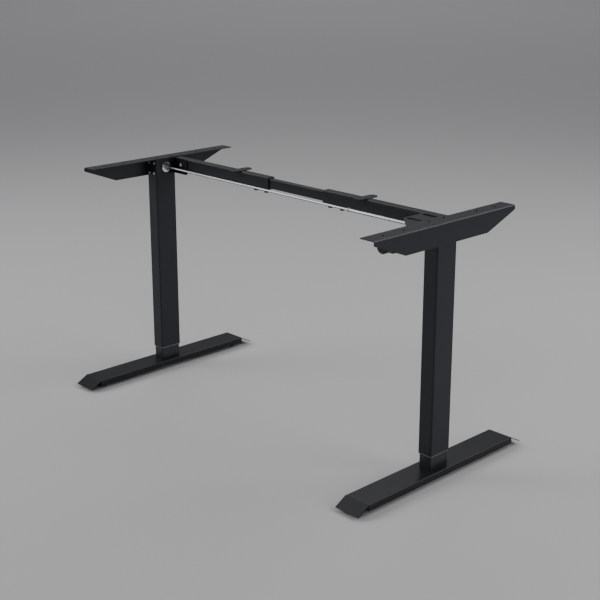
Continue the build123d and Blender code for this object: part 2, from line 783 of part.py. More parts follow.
def make_motor():
    axis = Plane(origin=(at(1), 0, shaft_z), x_dir=(1, 0, 0), z_dir=(0, -1, 0))
    front = outer_y / 2
    with BuildPart() as housing:
        with BuildSketch(axis.offset(front)):
            RectangleRounded(motor_flange_x, motor_flange_z, motor_flange_corner)
        extrude(amount=motor_flange)
        with BuildSketch(axis.offset(front + motor_flange)):
            Circle(motor_radius)
        extrude(amount=motor_end - front - motor_flange)
        with BuildSketch(axis.offset(motor_start + motor_gearcase)):
            Circle(motor_radius - motor_wall)
        extrude(amount=motor_end, mode=Mode.SUBTRACT)
        with BuildSketch(axis):
            Circle(output_radius + bearing_gap)
        extrude(amount=motor_end, mode=Mode.SUBTRACT)
        # the four head screws pass behind the motor flange
        with BuildSketch(axis.offset(front)):
            with Locations((0, frame_height - head_screw_top - head_screw_z / 2 - shaft_z)):
                with GridLocations(head_screw_x, head_screw_z, 2, 2):
                    Circle(head_screw_head + slide_gap)
        extrude(amount=motor_flange, mode=Mode.SUBTRACT)
    save(housing.part, "motor_housing")

    with BuildPart() as cap:
        with BuildSketch(axis.offset(motor_end)):
            Circle(motor_radius)
        extrude(amount=motor_cap_rim)
        with BuildSketch(axis.offset(motor_end + motor_cap_rim)):
            Circle(motor_cap_radius)
        extrude(amount=motor_cap_end - motor_end - motor_cap_rim)
        chamfer(cap.edges().group_by(Axis.Y)[0], motor_cap_chamfer)
        with BuildSketch(axis.offset(motor_end)):
            Circle(motor_cap_radius - motor_wall)
        extrude(amount=motor_cap_end - motor_end - motor_cap_floor, mode=Mode.SUBTRACT)
        # connector socket in the end face
        with BuildSketch(axis.offset(motor_cap_end)):
            Rectangle(socket_x, socket_z)
        extrude(amount=-socket_depth, mode=Mode.SUBTRACT)
    save(cap.part, "motor_end_cap")

    with BuildPart() as pinion:
        cut_bevel(axis, crown_pitch, crown_radius, pinion_teeth)
        with BuildSketch(axis.offset(crown_radius)):
            Circle(output_radius)
        extrude(amount=motor_start + motor_gearcase - crown_radius)
    save(pinion.part, "motor_pinion")

    rotor_start = motor_start + motor_gearcase + rotor_gap
    with BuildPart() as rotor:
        with BuildSketch(axis.offset(rotor_start)):
            Circle(rotor_shaft)
        extrude(amount=motor_cap_end - rotor_start - rotor_tail)
        with BuildSketch(axis.offset(rotor_start + rotor_step)):
            Circle(rotor_radius)
        extrude(amount=motor_end - rotor_start - 2 * rotor_step)
    save(rotor.part, "motor_rotor")


for side, label, tab_x, flats in ((1, "right", tab_right, tube_flats), (-1, "left", tab_left, rod_flats)):
    make_foot(side, label)
    make_glide(side, -1, f"{label}_front_glide")
    make_glide(side, 1, f"{label}_rear_glide")
    make_inner_column(side, label)
    make_outer_column(side, label)
    make_gearbox(side, label)
    make_bush(side, label, flats)
    make_bracket(side, label)
    make_rail_half(side, label, tab_x)
make_shaft()
make_inner_rail()
make_junction_plate()
make_motor()
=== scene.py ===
# %% [markdown]
# # Height adjustable desk frame
# The frame is two telescopic columns on flat feet, joined at the top by a telescopic rail.
# A motor under the right bracket turns a hexagonal shaft, and the shaft turns both lead screws.
# The steel parts come finished from the CAD model, so the work here is in their finishes,
# in the small formed parts that CAD left plain, and in the light that shows them.

# %% Load the frame
import bmesh
import bpy
import math
from mathutils import Matrix, Vector


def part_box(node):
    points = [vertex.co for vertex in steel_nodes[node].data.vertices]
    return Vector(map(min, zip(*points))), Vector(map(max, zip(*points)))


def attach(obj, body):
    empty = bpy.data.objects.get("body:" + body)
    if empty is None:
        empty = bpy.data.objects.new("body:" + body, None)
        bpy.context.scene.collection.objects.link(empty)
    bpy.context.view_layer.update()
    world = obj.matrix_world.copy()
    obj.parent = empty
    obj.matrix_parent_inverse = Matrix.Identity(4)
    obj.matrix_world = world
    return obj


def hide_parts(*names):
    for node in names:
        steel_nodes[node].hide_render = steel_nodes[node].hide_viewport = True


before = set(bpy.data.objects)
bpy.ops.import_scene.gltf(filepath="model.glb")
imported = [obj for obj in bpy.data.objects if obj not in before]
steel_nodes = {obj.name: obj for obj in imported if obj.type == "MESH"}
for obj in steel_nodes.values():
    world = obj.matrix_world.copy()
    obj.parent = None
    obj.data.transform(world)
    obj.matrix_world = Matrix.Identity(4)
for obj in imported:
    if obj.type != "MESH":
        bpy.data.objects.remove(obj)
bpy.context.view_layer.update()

bpy.ops.object.select_all(action="DESELECT")

# %% [markdown]
# ## Camera
# A product shot of furniture is taken from about chest height with a long lens, so that the
# uprights stay nearly parallel. The camera is placed by its position, its turn about the
# vertical and its tilt. A small downward shift of the lens keeps the tilt small as well.

# %% Camera
camera_data = bpy.data.cameras.new("product_camera")
camera = bpy.data.objects.new("product_camera", camera_data)
bpy.context.scene.collection.objects.link(camera)
camera.location = (2.4301, -2.2648, 1.4254)
camera.rotation_euler = (math.radians(90 - 16.40), 0, math.radians(46.27))
camera_data.lens = 71.69
camera_data.sensor_width = 36.0
camera_data.shift_y = -0.05
camera_data.clip_end = 600.0
bpy.context.scene.camera = camera
print("camera is", round((camera.location - Vector((0, 0, 0.35))).length, 2), "m from the frame")

# %% [markdown]
# ## Floor and light
# Black powder coat shows only what it reflects, so the boxes stand where its faces look.
# One above on the left fills the floor, one on the front left puts a white line on the
# shaft, and two on the right and behind draw the long edges. Four large ones hang high and
# far out at the corners of the studio, face straight down, and keep the floor pale there.

# %% Floor
bpy.ops.mesh.primitive_plane_add(size=240, location=(0, 0, 0))
floor = bpy.context.object
floor.name = "studio_floor"
floor_paint = bpy.data.materials.new("pale_floor")
floor_paint.use_nodes = True
floor_shader = floor_paint.node_tree.nodes["Principled BSDF"]
floor_shader.inputs["Base Color"].default_value = (0.60, 0.60, 0.61, 1)
floor_shader.inputs["Roughness"].default_value = 0.55
floor_shader.inputs["Specular IOR Level"].default_value = 0.25
floor.data.materials.append(floor_paint)
print("floor is", floor.dimensions.x, "m wide")


# %% Soft boxes
def soft_box(name, place, target, size, power):
    """A square area light that faces the target."""
    lamp = bpy.data.lights.new(name, "AREA")
    lamp.size = size
    lamp.energy = power
    box = bpy.data.objects.new(name, lamp)
    bpy.context.scene.collection.objects.link(box)
    box.location = place
    box.rotation_euler = (Vector(target) - Vector(place)).to_track_quat("-Z", "Y").to_euler()
    print(name, "at", place, "with", power, "W")


soft_box("overhead_box", (-2.3, -0.1, 3.2), (0, 0, 0.3), 2.6, 27)
soft_box("shaft_box", (-2.9, -2.7, 2.3), (0, 0, 0.6), 1.8, 44)
soft_box("edge_box", (1.2, 2.6, 3.0), (0, 0, 0.4), 2.2, 46)
soft_box("side_box", (3.9, 1.4, 1.9), (0.3, 0, 0.4), 2.0, 38)
for number, (x, y) in enumerate(((-14, 14), (-14, -14), (14, -14), (14, 14))):
    soft_box(f"far_box_{number + 1}", (x, y, 14), (x, y, 0), 16.0, 800)

world = bpy.data.worlds.new("studio_air")
world.use_nodes = True
world.node_tree.nodes["Background"].inputs["Color"].default_value = (0.80, 0.81, 0.83, 1)
world.node_tree.nodes["Background"].inputs["Strength"].default_value = 0.13
bpy.context.scene.world = world

# %% [markdown]
# ## Writing finishes as arithmetic
# A finish is a small program of nodes: patterns are made from a point's place, changed by
# arithmetic, and fed to the shader. Wiring each node by hand hides the idea, so one class
# stands for a wire, and plus, minus and times on wires add the Math nodes. Every other node
# comes from one method that is told its type, its settings and its sockets.


# %% A wire that does sums
class Wire:
    """One output socket of a finish. Arithmetic on it adds Math nodes."""

    def __init__(self, finish, socket):
        self.finish = finish
        self.socket = socket

    def sum(self, operation, *terms):
        sockets = {number: term for number, term in enumerate(terms)}
        return self.finish.node("ShaderNodeMath", {"operation": operation}, sockets)

    def __add__(self, other):
        return self.sum("ADD", self, other)

    def __radd__(self, other):
        return self.sum("ADD", other, self)

    def __sub__(self, other):
        return self.sum("SUBTRACT", self, other)

    def __rsub__(self, other):
        return self.sum("SUBTRACT", other, self)

    def __mul__(self, other):
        return self.sum("MULTIPLY", self, other)

    def __rmul__(self, other):
        return self.sum("MULTIPLY", other, self)

    def __truediv__(self, other):
        return self.sum("DIVIDE", self, other)

    def __rtruediv__(self, other):
        return self.sum("DIVIDE", other, self)

    def __pow__(self, other):
        return self.sum("POWER", self, other)

    def __abs__(self):
        return self.sum("ABSOLUTE", self)


# %% A finish
class Finish:
    """A material whose nodes are made by one method."""

    def __init__(self, name, **constants):
        self.material = bpy.data.materials.new(name)
        self.material.use_nodes = True
        self.tree = self.material.node_tree
        self.shader = self.tree.nodes["Principled BSDF"]
        for socket, value in constants.items():
            self.shader.inputs[socket.replace("_", " ")].default_value = value
        self.place = self.node("ShaderNodeTexCoord", output="Object")

    def node(self, kind, settings=None, sockets=None, output=0):
        """Add a node: its settings first, then the values or wires of its sockets."""
        made = self.tree.nodes.new(kind)
        for setting, value in (settings or {}).items():
            setattr(made, setting, value)
        for socket, value in (sockets or {}).items():
            if isinstance(value, Wire):
                self.tree.links.new(value.socket, made.inputs[socket])
            else:
                made.inputs[socket].default_value = value
        return Wire(self, made.outputs[output])

    def noise(self, scale, detail=2.0, stretch=(1, 1, 1)):
        """Cloudy noise from 0 to 1. A stretch under 1 draws it out along that axis."""
        place = self.node("ShaderNodeVectorMath", {"operation": "MULTIPLY"}, {0: self.place, 1: stretch})
        return self.node("ShaderNodeTexNoise", {}, {"Vector": place, "Scale": scale, "Detail": detail})

    def ramp(self, value, low, high):
        """0 below low, 1 above high, and straight between."""
        sockets = {"Value": value, "From Min": low, "From Max": high}
        return self.node("ShaderNodeMapRange", {"clamp": True}, sockets)

    def tint(self, mask, dark, light):
        """A colour that goes from dark to light as the mask goes from 0 to 1."""
        return self.blend(mask, (*dark, 1), (*light, 1))

    def blend(self, mask, under, over):
        """One colour over another, each a wire or four numbers, as the mask goes from 0 to 1."""
        return self.node("ShaderNodeMix", {"data_type": "RGBA"}, {0: mask, 6: under, 7: over}, output=2)

    def axes(self):
        """The three parts of a point's place, in metres."""
        parts = self.node("ShaderNodeSeparateXYZ", {}, {0: self.place})
        outputs = parts.socket.node.outputs
        return [Wire(self, outputs[n]) for n in range(3)]

    def bump(self, height, depth, under=None):
        """A normal from a height of 0 to 1 that is worth `depth` metres."""
        sockets = {"Height": height, "Distance": depth, "Strength": 1.0}
        if under is not None:
            sockets["Normal"] = under
        return self.node("ShaderNodeBump", {}, sockets)

    def soft_edges(self, radius):
        """The normal as if each edge were rounded, and a mask that is 1 on those edges."""
        rounded = self.node("ShaderNodeBevel", {"samples": 4}, {"Radius": radius})
        flat = self.node("ShaderNodeNewGeometry", output="Normal")
        dot = {"operation": "DOT_PRODUCT"}
        along = self.node("ShaderNodeVectorMath", dot, {0: rounded, 1: flat}, output="Value")
        return rounded, self.ramp(along, 0.995, 0.80)

    def feed(self, **inputs):
        """Send wires to the shader's own sockets."""
        for socket, wire in inputs.items():
            self.tree.links.new(wire.socket, self.shader.inputs[socket.replace("_", " ")])


print("shader helpers are ready")

# %% [markdown]
# ## Powder coat
# Powder is sprayed dry and melts into a skin with a fine orange peel, about a millimetre
# from crest to crest. It thins over sharp edges, which look a shade lighter and shinier.
# The peel is noise used as height. A rounded-edge normal gives the edge its thin light line,
# and the same normal, compared with the flat one, masks a lighter edge colour that is partly the thinner
# skin and partly a painted highlight.


# %% Powder coat
def powder_coat(name, dark, light, edge, gloss, peel, shine=0.42, seam=None):
    """Anthracite powder: cloudy in tone, peeled in height, lighter along its edges from thinner skin and a
    painted highlight.
    """
    coat = Finish(name, IOR=1.5, Specular_IOR_Level=shine)
    rounded, edges = coat.soft_edges(0.0007)
    clouds = coat.noise(7, 3)
    flecks = coat.ramp(coat.noise(2600, 2), 0.42, 0.72)
    body = coat.tint(clouds * 0.7 + flecks * 0.3, dark, light)
    # The lighter edge colour is partly thinner coat and partly a painted highlight.
    thin_edges_and_painted_light = coat.blend(edges * 0.45, body, (*edge, 1))
    crests = coat.noise(1050, 2)
    fine = coat.noise(4200, 1)
    skin = coat.bump(crests * 0.8 + fine * 0.2, peel, rounded)
    if seam is not None:
        seam_y, seam_z = seam
        y, z = coat.axes()[1:]
        groove = coat.ramp(abs(y - seam_y), 0.0029, 0.0021) * coat.ramp(z, seam_z - 0.003, seam_z - 0.002)
        # The seam groove is darkened nearly to black: painted shade.
        thin_edges_and_painted_light = coat.blend(groove * 0.85, thin_edges_and_painted_light, (0.002, 0.002, 0.002, 1))
        skin = coat.bump(1 - groove, 0.0005, skin)
    coat.feed(
        Base_Color=thin_edges_and_painted_light,
        Roughness=gloss + (clouds - 0.5) * 0.10 + flecks * 0.05 - edges * 0.08,
        Normal=skin,
    )
    return coat.material


# Each set is dark, light and edge tone; the edge tone is partly thinner coat and partly a painted
# highlight.
frame_tones = (0.0078, 0.0092, 0.0128), (0.0132, 0.0158, 0.0218), (0.060, 0.065, 0.075)
foot_tones = (0.0058, 0.0066, 0.0086), (0.0098, 0.0112, 0.0145), (0.070, 0.075, 0.084)
# The inner tube's tones are a lighter copy of the frame's anthracite: painted light for the front light
# that falls on it.
inner_painted_light_tones = (0.016, 0.017, 0.020), (0.026, 0.028, 0.032), (0.075, 0.078, 0.086)
black_tones = (0.0035, 0.0038, 0.0045), (0.0060, 0.0066, 0.0078), (0.030, 0.031, 0.034)
motor_tones = (0.012, 0.012, 0.013), (0.020, 0.020, 0.022), (0.060, 0.060, 0.062)
frame_coat = powder_coat("anthracite_powder_coat", *frame_tones, 0.38, 0.00005)
foot_coat = powder_coat("satin_foot_coat", *foot_tones, 0.30, 0.00003, shine=0.28)
inner_coat = powder_coat("inner_tube_coat", *inner_painted_light_tones, 0.28, 0.00003)
motor_coat = powder_coat("motor_can_paint", *motor_tones, 0.34, 0.00002)
black_coat = powder_coat("black_rail_bracket_coat", *black_tones, 0.44, 0.00003, shine=0.30)
print("powder coats:", frame_coat.name, foot_coat.name, motor_coat.name)

# %% [markdown]
# The rail sleeves are rolled from strip and closed by a seam that runs the length of their top
# face. It's the same coat with a groove: the distance from the seam's line is a mask, which is
# used once as height and once to darken the coat nearly to black, as painted shade in the groove.

# %% Seamed coat for the rail sleeves
sleeve_low, sleeve_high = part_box("right_rail_sleeve")
seam_place = sleeve_high.y - 0.0085, sleeve_high.z
sleeve_coat = powder_coat("seamed_sleeve_coat", *frame_tones, 0.38, 0.00005, seam=seam_place)
print("sleeve seam is", round((sleeve_high.y - seam_place[0]) * 1000, 1), "mm from the rear face")

# %% [markdown]
# ## Drawn and turned metal
# The shaft is drawn through a die, so its flats carry fine lines that run its whole length.
# The bush is turned on a lathe, so its face has rings round the shaft. Both patterns are
# heights made from a point's place: stretched noise for the lines, distance from the
# shaft's centre line for the rings.

# %% Drawn shaft steel
shaft_low, shaft_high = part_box("drive_rod")
shaft_z = (shaft_low.z + shaft_high.z) / 2
print("shaft centre line is", round(shaft_z, 4), "m above the floor")


def drawn_steel(name, tone, gloss):
    """Bright bar drawn along X."""
    bar = Finish(name, Metallic=1.0)
    rounded = bar.soft_edges(0.0004)[0]
    lines = bar.noise(900, 3, (0.004, 1, 1))
    smears = bar.noise(14, 3, (0.3, 1, 1))
    bar.feed(
        Base_Color=bar.tint(lines * 0.5 + smears * 0.5, [0.78 * t for t in tone], tone),
        Roughness=gloss + lines * 0.10 + smears * 0.08,
        Normal=bar.bump(lines, 0.00001, rounded),
    )
    return bar.material


bright_shaft = drawn_steel("bright_drawn_steel", (0.30, 0.305, 0.32), 0.20)


# %% Turned chrome
def turned_metal(name, tone, gloss, pitch):
    """Metal with fine rings round the shaft's centre line."""
    metal = Finish(name, Metallic=1.0)
    rounded = metal.soft_edges(0.0005)[0]
    x, y, z = metal.axes()
    radius = (y * y + (z - shaft_z) * (z - shaft_z)) ** 0.5
    rings = x.sum("SINE", radius * (2 * math.pi / pitch)) * 0.5 + 0.5
    haze = metal.noise(260, 3)
    metal.feed(
        Base_Color=metal.tint(haze, [0.88 * t for t in tone], tone),
        Roughness=gloss + haze * 0.08 + rings * 0.03,
        Normal=metal.bump(rings * 0.7 + haze * 0.3, 0.00001, rounded),
    )
    return metal.material


chrome_bush = turned_metal("turned_chrome", (0.94, 0.95, 0.96), 0.12, 0.0005)


# %% Plated and plain metals
def plated_metal(name, dark, light, gloss, metallic=1.0, grain=700, depth=0.000015):
    """Zinc, cast alloy, bronze or steel: crystal flecks, haze, and edges lightened as a painted highlight.
    """
    metal = Finish(name, Metallic=metallic)
    rounded, edges = metal.soft_edges(0.0005)
    flecks = metal.node("ShaderNodeTexVoronoi", {}, {"Vector": metal.place, "Scale": grain})
    haze = metal.noise(90, 4)
    metal.feed(
        # Edges are lightened in the colour: a painted highlight.
        Base_Color=metal.tint(haze * 0.6 + flecks * 0.4 + edges * 0.3, dark, light),
        Roughness=gloss + haze * 0.14 - edges * 0.05,
        Normal=metal.bump(flecks * 0.5 + haze * 0.5, depth, rounded),
    )
    return metal.material


zinc_screw = plated_metal("bright_zinc_screw", (0.62, 0.63, 0.66), (0.86, 0.87, 0.88), 0.20)
zinc_steel = plated_metal("zinc_plated_steel", (0.48, 0.49, 0.52), (0.72, 0.73, 0.74), 0.30, grain=240)
black_screw = plated_metal(
    "black_oxide_screw", (0.018, 0.018, 0.020), (0.050, 0.050, 0.054), 0.32, metallic=0.7
)
raw_steel = plated_metal("mill_finish_steel", (0.30, 0.30, 0.31), (0.52, 0.52, 0.53), 0.34, grain=420)
gear_steel = plated_metal(
    "sintered_gear_steel", (0.22, 0.22, 0.22), (0.40, 0.39, 0.38), 0.42, grain=1500, depth=0.00004
)
bronze_nut = plated_metal("machined_bronze", (0.42, 0.27, 0.12), (0.66, 0.46, 0.24), 0.26)
cast_alloy = plated_metal(
    "die_cast_alloy", (0.40, 0.41, 0.42), (0.60, 0.61, 0.62), 0.44, grain=520, depth=0.00006
)
print("metals:", zinc_screw.name, zinc_steel.name, raw_steel.name, bronze_nut.name)

# %% [markdown]
# Each rail bracket has three screws that are one node: a bright one in its plate and two
# blackened ones in its leg. The plate's screw is nearer the middle of the frame, so a mask
# on the distance from the middle tells them apart.

# %% Rail bracket screws
screws_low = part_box("right_rail_bracket_screws")[0]
plate_screw_size = 0.011
plate_screw_end = screws_low.x + plate_screw_size


def bracket_screws(name):
    """Bright zinc on the plate's screw, black oxide on the leg's."""
    metal = Finish(name, Metallic=1.0)
    rounded, edges = metal.soft_edges(0.0005)
    x = metal.axes()[0]
    bright = metal.ramp(abs(x), plate_screw_end + 0.001, plate_screw_end)
    flecks = metal.node("ShaderNodeTexVoronoi", {}, {"Vector": metal.place, "Scale": 700})
    haze = metal.noise(90, 4) * 0.6 + flecks * 0.4
    # Both tones are lighter along the edges: a painted highlight.
    black = metal.tint(haze + edges * 0.3, (0.006, 0.006, 0.007), (0.020, 0.020, 0.022))
    zinc = metal.tint(haze + edges * 0.3, (0.62, 0.63, 0.66), (0.86, 0.87, 0.88))
    metal.feed(
        Base_Color=metal.blend(bright, black, zinc),
        Roughness=0.36 - bright * 0.16 + haze * 0.12,
        Normal=metal.bump(haze, 0.000015, rounded),
    )
    return metal.material


two_screws = bracket_screws("bright_and_black_screws")
print("bright screw ends", round(plate_screw_end, 4), "m from the middle")


# %% [markdown]
# ## Screw thread without a helix
# The lead screw is a rod whose thread climbs as the angle round it grows. Angle plus height,
# in turns, gives a saw that winds round the rod, and as a height it reads as a thread.
# The distance from the nearest column is used, so one finish suits both columns and the
# left thread comes out with the opposite hand, as the real one has.

# %% Threaded steel
column_x = sum(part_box("right_outer_tube")[n].x for n in range(2)) / 2


def threaded_steel(name, pitch, depth):
    """Rod with a thread of that pitch about either column's centre line."""
    rod = Finish(name, Metallic=1.0, Roughness=0.28)
    x, y, z = rod.axes()
    angle = x.sum("ARCTAN2", y, abs(x) - column_x) / (2 * math.pi)
    crest = x.sum("PINGPONG", angle + z / pitch, 0.5) * 2
    oil = rod.noise(60, 3)
    rod.feed(
        # The thread's roots are darker than its crests: painted shade in the groove.
        Base_Color=rod.tint(crest * 0.7 + oil * 0.3, (0.16, 0.15, 0.14), (0.62, 0.62, 0.62)),
        Normal=rod.bump(rod.ramp(crest, 0.2, 0.8), depth),
    )
    return rod.material


lead_thread = threaded_steel("rolled_lead_thread", 0.004, 0.0008)
print("column centre line is", round(column_x, 4), "m from the middle")

# %% [markdown]
# ## Moulded plastic and rubber
# The collars, liners and glides come out of a spark-eroded mould, so they are matt with a
# fine even grain. Rubber is softer in its highlight and picks up a little dust.


# %% Plastic and rubber
def moulded(name, dark, light, gloss, grain, depth):
    """Spark-eroded mould texture with a soft haze, and edges lightened as a painted highlight."""
    skin = Finish(name, Specular_IOR_Level=0.4)
    rounded, edges = skin.soft_edges(0.0006)
    smooth = {"feature": "SMOOTH_F1"}
    grains = skin.node("ShaderNodeTexVoronoi", smooth, {"Vector": skin.place, "Scale": grain})
    haze = skin.noise(45, 4)
    skin.feed(
        # Edges are lightened in the colour: a painted highlight.
        Base_Color=skin.tint(haze * 0.8 + edges * 0.4, dark, light),
        Roughness=gloss + haze * 0.12,
        Normal=skin.bump(grains, depth, rounded),
    )
    return skin.material


plastic_tones = (0.014, 0.014, 0.015), (0.034, 0.034, 0.036)
rubber_tones = (0.010, 0.010, 0.010), (0.028, 0.028, 0.027)
black_plastic = moulded("moulded_black_plastic", *plastic_tones, 0.44, 1600, 0.00004)
black_rubber = moulded("black_rubber", *rubber_tones, 0.62, 900, 0.00006)


# %% [markdown]
# The wiper collar that closes the mouth of each outer tube is a black moulding, and its lip is
# painted mid grey as a highlight, the light line round the tube. Its two snap pegs are the same
# moulding, and the grey fades out above the lip, so they stay black.

# %% Collar plastic
lip_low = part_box("right_tube_collar")[0]
lip_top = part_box("right_outer_tube")[0].z


def collar_moulding(name):
    """Black moulding with its lip painted grey as a highlight."""
    skin = Finish(name, Specular_IOR_Level=0.45)
    rounded = skin.soft_edges(0.0005)[0]
    z = skin.axes()[2]
    lip = skin.ramp(z, lip_top + 0.0006, lip_top - 0.0002)
    haze = skin.noise(60, 3)
    # Painted highlight: the lip's mid grey stands in for the light line round the tube.
    lip_painted_highlight = skin.tint(haze, (0.15, 0.152, 0.157), (0.21, 0.212, 0.218))
    skin.feed(
        Base_Color=skin.blend(lip, (0.012, 0.012, 0.013, 1), lip_painted_highlight),
        Roughness=0.38 + haze * 0.12,
        Normal=skin.bump(skin.noise(1400, 2), 0.00003, rounded),
    )
    return skin.material


collar_plastic = collar_moulding("collar_moulding")
print("collar lip is", round((lip_top - lip_low.z) * 1000, 1), "mm high")
print("mouldings:", black_plastic.name, black_rubber.name)

# %% [markdown]
# ## Dressing the CAD parts
# Each CAD node keeps its shape and takes the finish of the real part. The ending of a
# node's name says which part it is, the same on the left and the right.

# %% Finish for every node
finish_for = {
    "foot": foot_coat, "foot_stiffener": zinc_steel, "foot_bolts": black_screw,
    "foot_weld_nuts": zinc_steel, "inner_tube": inner_coat, "tube_end_block": raw_steel,
    "tube_slider": black_plastic, "lift_nut": bronze_nut, "outer_tube": frame_coat,
    "tube_collar": collar_plastic, "gearbox_housing": cast_alloy,
    "gearbox_screws": zinc_screw, "lead_screw": lead_thread, "crown_gear": gear_steel,
    "shaft_pinion": gear_steel, "shaft_bush": chrome_bush, "side_bracket": frame_coat,
    "rail_sleeve": sleeve_coat, "sleeve_liner": black_plastic, "rail_lock_bolts": black_screw,
    "support_tab": frame_coat, "rail_bracket": black_coat, "rail_bracket_screws": two_screws,
    "front_glide": black_plastic, "rear_glide": black_plastic, "drive_tube": bright_shaft,
    "drive_rod": bright_shaft, "shaft_collar": raw_steel, "inner_rail": frame_coat,
    "junction_plate": frame_coat, "motor_housing": motor_coat, "motor_end_cap": black_plastic,
    "motor_pinion": gear_steel, "motor_rotor": gear_steel,
}
for name, node in steel_nodes.items():
    part_name = name.removeprefix("right_").removeprefix("left_")
    for material_slot in node.material_slots:
        material_slot.material = finish_for[part_name]
print("finishes given to", len(steel_nodes), "nodes")

# %% [markdown]
# ## Shaping by operator
# New pieces are made as by hand: add a primitive, go into edit mode, pick faces by where they
# are and which way they point, and extrude, inset or bevel them. Three short helpers cover
# that. Every finished piece ends with its place in its mesh and its object at the origin.


# %% Modelling helpers
def begin(name, primitive, **size):
    """Add a primitive, name it and open it for editing."""
    bpy.ops.object.select_all(action="DESELECT")
    primitive(**size)
    piece = bpy.context.object
    piece.name = name
    piece.data.name = name
    bpy.ops.object.mode_set(mode="EDIT")
    return piece


def choose(piece, test):
    """Select only the faces whose middle and normal pass the test."""
    bpy.ops.mesh.select_mode(type="FACE")
    bpy.ops.mesh.select_all(action="DESELECT")
    shape = bmesh.from_edit_mesh(piece.data)
    for face in shape.faces:
        face.select_set(bool(test(piece.matrix_world @ face.calc_center_median(), face.normal)))
    shape.select_flush(True)
    bmesh.update_edit_mesh(piece.data)


def extrude(along, scale=(1, 1, 1), centre=(0, 0, 0)):
    """Push the chosen faces out along a vector and scale them about a point."""
    bpy.ops.mesh.extrude_region_move(TRANSFORM_OT_translate={"value": along})
    if scale != (1, 1, 1):
        bpy.ops.transform.resize(value=scale, center_override=centre)


def close(piece, finishes, rides_on, bevel=0.0, replaces=()):
    """Leave edit mode, bevel, apply the place, shade, dress and hand the piece to its body."""
    bpy.ops.mesh.select_all(action="SELECT")
    bpy.ops.mesh.normals_make_consistent(inside=False)
    bpy.ops.object.mode_set(mode="OBJECT")
    bpy.ops.object.select_all(action="DESELECT")
    piece.select_set(True)
    bpy.context.view_layer.objects.active = piece
    bpy.ops.object.transform_apply(location=True, rotation=True, scale=True)
    if bevel:
        rounding = piece.modifiers.new("rounding", "BEVEL")
        rounding.width = bevel
        rounding.segments = 2
        rounding.angle_limit = math.radians(28)
        bpy.ops.object.modifier_apply(modifier=rounding.name)
    bpy.ops.object.shade_smooth_by_angle(angle=math.radians(32))
    for finish in finishes:
        piece.data.materials.append(finish)
    dress(piece, rides_on, replaces)


def dress(piece, rides_on, replaces=()):
    """Body and stand-in for a finished piece."""
    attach(piece, rides_on)
    if replaces:
        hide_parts(*replaces)
    triangles = sum(len(face.vertices) - 2 for face in piece.data.polygons)
    print(piece.name, "has", triangles, "triangles and rides on", rides_on)


def copy_to(piece, name, shift):
    """A copy with its own mesh, moved in the mesh."""
    twin = piece.copy()
    twin.data = piece.data.copy()
    twin.name = name
    twin.data.name = name
    twin.parent = None
    twin.matrix_world = Matrix.Identity(4)
    twin.data.transform(Matrix.Translation(shift))
    bpy.context.scene.collection.objects.link(twin)
    return twin


# %% [markdown]
# ## Levelling glides
# Each foot stands on two glides: a round pad with a rubber face and a ribbed rim to grip by
# hand, a hexagon for a spanner, and a threaded stud up into the foot. The pad starts as a
# cylinder. Its top is extruded and narrowed to a cone, its underside to a rolled rubber edge,
# and every second face round the rim is inset and raised to make the ribs.

# %% Glide pad
glide_low, glide_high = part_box("right_front_glide")
glide_middle = (glide_low + glide_high) / 2
glide_radius = (glide_high.x - glide_low.x) / 2
rim_low, rim_high, pad_high = 0.0026, 0.0056, 0.0080
rib_count, rib_inset, rib_rise = 24, 0.0003, 0.0005
rim_radius = glide_radius - rib_inset - rib_rise
rubber_bulge, rubber_roll = 0.0016, 0.0010
pad = begin(
    "right_front_glide_pad", bpy.ops.mesh.primitive_cylinder_add,
    vertices=2 * rib_count, radius=rim_radius, depth=rim_high - rim_low,
    location=(glide_middle.x, glide_middle.y, (rim_low + rim_high) / 2),
)
pad_foot = (glide_middle.x, glide_middle.y, 0)
choose(pad, lambda place, normal: normal.z > 0.9)
extrude((0, 0, pad_high - rim_high), (0.83, 0.83, 1), pad_foot)
bpy.ops.mesh.inset(thickness=0.0050, depth=-0.0006)
choose(pad, lambda place, normal: normal.z < -0.9)
extrude((0, 0, -rubber_bulge), (1.03, 1.03, 1), pad_foot)
extrude((0, 0, -rubber_roll), (0.95, 0.95, 1), pad_foot)
bpy.ops.mesh.inset(thickness=0.0030, depth=0)


def on_rib(place, normal):
    """Every second upright face of the rim."""
    turn = math.atan2(place.y - glide_middle.y, place.x - glide_middle.x) / (2 * math.pi) * 2 * rib_count
    return abs(normal.z) < 0.05 and place.z > rim_low and int(math.floor(turn)) % 2 == 0


choose(pad, on_rib)
bpy.ops.mesh.inset(thickness=rib_inset, depth=rib_rise, use_individual=True)
pad_finishes = [black_plastic, black_rubber]
close(pad, pad_finishes, "right_front_glide", 0.0002, ["right_front_glide"])
for face in pad.data.polygons:
    face.material_index = 1 if face.center.z < rim_low - 0.0002 else 0

# %% [markdown]
# The stud is a hexagon with its corners chamfered, and a rod. Its thread is height in the finish, with
# painted shade in its roots, wound round the nearest glide in the way that the lead screw's thread is.

# %% Glide stud
stud_radius, stud_start = 0.0040, 0.0130
spanner_half, hexagon_depth, hexagon_middle = 0.0070, 0.0050, 0.0103
thread_pitch = 0.00125
stud = begin(
    "right_front_glide_stud", bpy.ops.mesh.primitive_cylinder_add,
    vertices=6, radius=spanner_half / math.cos(math.pi / 6), depth=hexagon_depth,
    location=(glide_middle.x, glide_middle.y, hexagon_middle),
)
choose(stud, lambda place, normal: normal.z > 0.9)
extrude((0, 0, 0.0006), (0.88, 0.88, 1), pad_foot)
bpy.ops.mesh.inset(thickness=0.0016, depth=0)
bpy.ops.mesh.primitive_cylinder_add(
    vertices=32, radius=stud_radius, depth=glide_high.z - stud_start,
    location=(glide_middle.x, glide_middle.y, (glide_high.z + stud_start) / 2),
)


